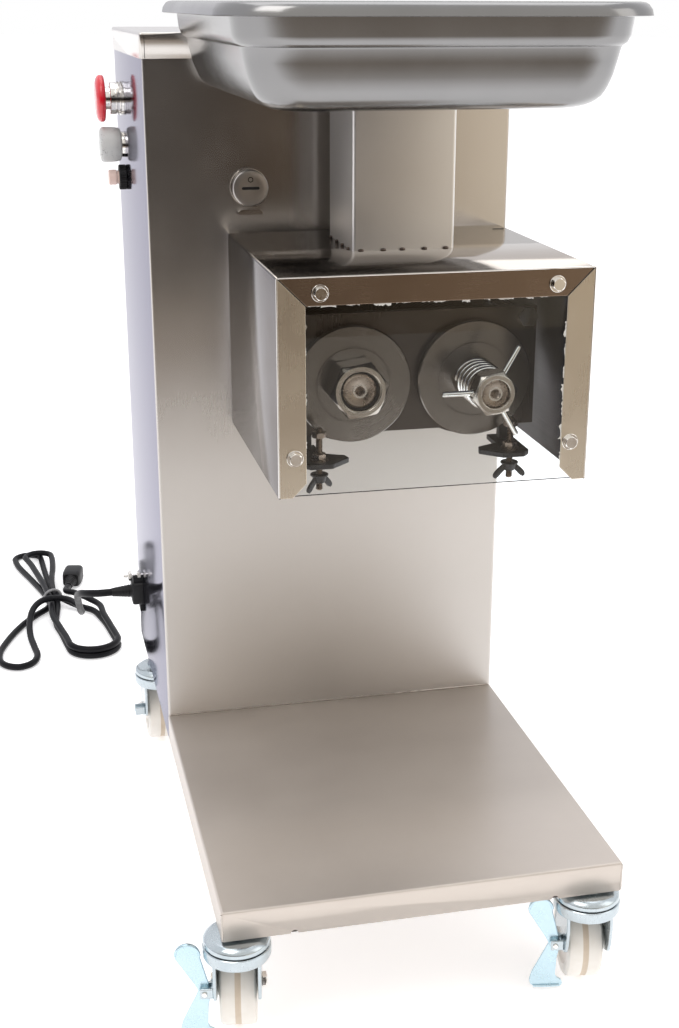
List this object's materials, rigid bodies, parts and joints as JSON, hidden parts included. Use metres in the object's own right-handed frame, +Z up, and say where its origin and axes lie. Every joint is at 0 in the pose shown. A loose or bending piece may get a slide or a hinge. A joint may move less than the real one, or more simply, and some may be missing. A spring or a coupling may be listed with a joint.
{
  "type": "electric meat cutter",
  "caption": "Floor-standing electric twin-shaft meat cutter on casters: steel cabinet, guarded blade head, feed pan and catch platform.",
  "frame": {"origin": "on the floor, midway between the machine's left and right and between its front and back, without the cord", "axes": "+Z up, +X to the operator's right, +Y from the operator towards the back of the cabinet"},
  "size_m": [0.5431, 1.3064, 0.8484],
  "materials": {
    "brushed_stainless": "fine vertical brushing",
    "satin_stainless": "satin",
    "polished_stainless": "bright polished",
    "machined_steel": "turned",
    "zinc_plate": "bright zinc plate",
    "bright_fasteners": "bright",
    "blue_pedal": "zinc plate with a blue tint",
    "nylon_wheel": "cast nylon",
    "clear_guard": "clear acrylic sheet",
    "cast_housing": "as cast",
    "frame_steel": "primed",
    "motor_paint": "enamel",
    "belt_rubber": "rubber",
    "black_oxide": "black oxide, slightly glossy",
    "red_plastic": "glossy",
    "grey_boot": "translucent silicone",
    "black_plastic": "moulded",
    "pink_button": "translucent",
    "white_plastic": "moulded",
    "cord_rubber": "rubber sheath"
  },
  "bodies": {
    "machine": {"cabinet_shell": "brushed_stainless", "rear_panel": "brushed_stainless", "lid": "brushed_stainless", "inner_frame": "frame_steel", "platform": "satin_stainless", "caster_pads": "frame_steel", "caster_tops": "zinc_plate", "head_housing": "brushed_stainless", "head_guard": "clear_guard", "guard_bolts": "bright_fasteners", "feed_chute": "satin_stainless", "gear_housing": "cast_housing", "gearbox_cover": "cast_housing", "shaft_bearings": "machined_steel", "end_plates": "satin_stainless", "tie_rods": "machined_steel", "combs": "satin_stainless", "comb_clamps": "black_oxide", "motor": "motor_paint", "motor_mount": "frame_steel", "drive_belt": "belt_rubber", "contactor": "white_plastic", "estop_body": "bright_fasteners", "start_bezel": "bright_fasteners", "reset_nut": "black_plastic", "cable_gland": "black_plastic", "cord_run": "cord_rubber", "cord_coil": "cord_rubber", "plug": "black_plastic"},
    "cutter_left": {"shaft_left": "machined_steel", "gear_left": "machined_steel", "blades_left": "machined_steel", "disc_left": "satin_stainless", "lock_nut": "machined_steel", "driven_pulley": "cast_housing"},
    "cutter_right": {"shaft_right": "machined_steel", "gear_right": "machined_steel", "blades_right": "machined_steel", "disc_right": "satin_stainless", "tension_spring": "bright_fasteners"},
    "tension_nut": {"spoke_nut": "bright_fasteners"},
    "motor_rotor": {"motor_pulley": "cast_housing"},
    "pan": {"feed_pan": "polished_stainless", "pan_spigot": "polished_stainless"},
    "clamp_nut_left": {"wing_nut_left": "black_oxide"},
    "clamp_nut_right": {"wing_nut_right": "black_oxide"},
    "estop": {"estop_head": "red_plastic"},
    "start": {"start_button": "grey_boot"},
    "reset": {"reset_button": "pink_button"},
    "latch": {"latch_knob": "satin_stainless"},
    "caster_fl": {"fork_fl": "zinc_plate"},
    "wheel_fl": {"wheel_fl": "nylon_wheel"},
    "pedal_fl": {"brake_fl": "blue_pedal"},
    "caster_fr": {"fork_fr": "zinc_plate"},
    "wheel_fr": {"wheel_fr": "nylon_wheel"},
    "pedal_fr": {"brake_fr": "blue_pedal"},
    "caster_rl": {"fork_rl": "zinc_plate"},
    "wheel_rl": {"wheel_rl": "nylon_wheel"},
    "caster_rr": {"fork_rr": "zinc_plate"},
    "wheel_rr": {"wheel_rr": "nylon_wheel"}
  },
  "joints": [
    {"name": "left_shaft_spin", "type": "hinge", "parent": "machine", "child": "cutter_left", "pos_m": [-0.0025, 0.0525, 0.528], "axis": [0, 1, 0], "continuous": true},
    {"name": "right_shaft_spin", "type": "hinge", "parent": "machine", "child": "cutter_right", "pos_m": [0.1095, 0.0525, 0.528], "axis": [0, 1, 0], "continuous": true},
    {"name": "motor_spin", "type": "hinge", "parent": "machine", "child": "motor_rotor", "pos_m": [-0.0025, 0.2525, 0.255], "axis": [0, 1, 0], "continuous": true},
    {"name": "tension_nut_turn", "type": "hinge", "parent": "cutter_right", "child": "tension_nut", "pos_m": [0.1095, -0.1775, 0.528], "axis": [0, 1, 0], "continuous": true},
    {"name": "left_wing_nut_turn", "type": "hinge", "parent": "machine", "child": "clamp_nut_left", "pos_m": [-0.0385, -0.1475, 0.45], "axis": [0, 0, 1], "continuous": true},
    {"name": "right_wing_nut_turn", "type": "hinge", "parent": "machine", "child": "clamp_nut_right", "pos_m": [0.1375, -0.1475, 0.45], "axis": [0, 0, 1], "continuous": true},
    {"name": "pan_lift", "type": "slide", "parent": "machine", "child": "pan", "axis": [0, 0, 1], "range_m": [0, 0.06]},
    {"name": "estop_push", "type": "slide", "parent": "machine", "child": "estop", "axis": [1, 0, 0], "range_m": [0, 0.004], "stiffness_N_per_m": 400, "springref_m": -0.002},
    {"name": "start_push", "type": "slide", "parent": "machine", "child": "start", "axis": [1, 0, 0], "range_m": [0, 0.003], "stiffness_N_per_m": 400, "springref_m": -0.002},
    {"name": "reset_push", "type": "slide", "parent": "machine", "child": "reset", "axis": [1, 0, 0], "range_m": [0, 0.0025], "stiffness_N_per_m": 300, "springref_m": -0.002},
    {"name": "latch_turn", "type": "hinge", "parent": "machine", "child": "latch", "pos_m": [-0.0635, 0.0525, 0.681], "axis": [0, 1, 0], "range_deg": [0, 90]},
    {"name": "swivel_fl", "type": "hinge", "parent": "machine", "child": "caster_fl", "pos_m": [-0.1455, -0.3085, 0.09], "axis": [0, 0, 1], "continuous": true},
    {"name": "roll_fl", "type": "hinge", "parent": "caster_fl", "child": "wheel_fl", "pos_m": [-0.14098, -0.2829, 0.0375], "axis": [0.9848, -0.1736, 0], "continuous": true},
    {"name": "brake_fl", "type": "hinge", "parent": "caster_fl", "child": "pedal_fl", "pos_m": [-0.17412, -0.30955, 0.05], "axis": [-0.1736, -0.9848, 0], "range_deg": [0, 10]},
    {"name": "swivel_fr", "type": "hinge", "parent": "machine", "child": "caster_fr", "pos_m": [0.1705, -0.3085, 0.09], "axis": [0, 0, 1], "continuous": true},
    {"name": "roll_fr", "type": "hinge", "parent": "caster_fr", "child": "wheel_fr", "pos_m": [0.17502, -0.2829, 0.0375], "axis": [0.9848, -0.1736, 0], "continuous": true},
    {"name": "brake_fr", "type": "hinge", "parent": "caster_fr", "child": "pedal_fr", "pos_m": [0.14188, -0.30955, 0.05], "axis": [-0.1736, -0.9848, 0], "range_deg": [0, 10]},
    {"name": "swivel_rl", "type": "hinge", "parent": "machine", "child": "caster_rl", "pos_m": [-0.1485, 0.2555, 0.09], "axis": [0, 0, 1], "continuous": true},
    {"name": "roll_rl", "type": "hinge", "parent": "caster_rl", "child": "wheel_rl", "pos_m": [-0.1485, 0.2815, 0.0375], "axis": [1, 0, 0], "continuous": true},
    {"name": "swivel_rr", "type": "hinge", "parent": "machine", "child": "caster_rr", "pos_m": [0.1705, 0.2555, 0.09], "axis": [0, 0, 1], "continuous": true},
    {"name": "roll_rr", "type": "hinge", "parent": "caster_rr", "child": "wheel_rr", "pos_m": [0.1705, 0.2815, 0.0375], "axis": [1, 0, 0], "continuous": true}
  ],
  "couplings": [
    {"joint": "right_shaft_spin", "follows": "left_shaft_spin", "ratio": -1},
    {"joint": "motor_spin", "follows": "left_shaft_spin", "ratio": 3.069}
  ]
}
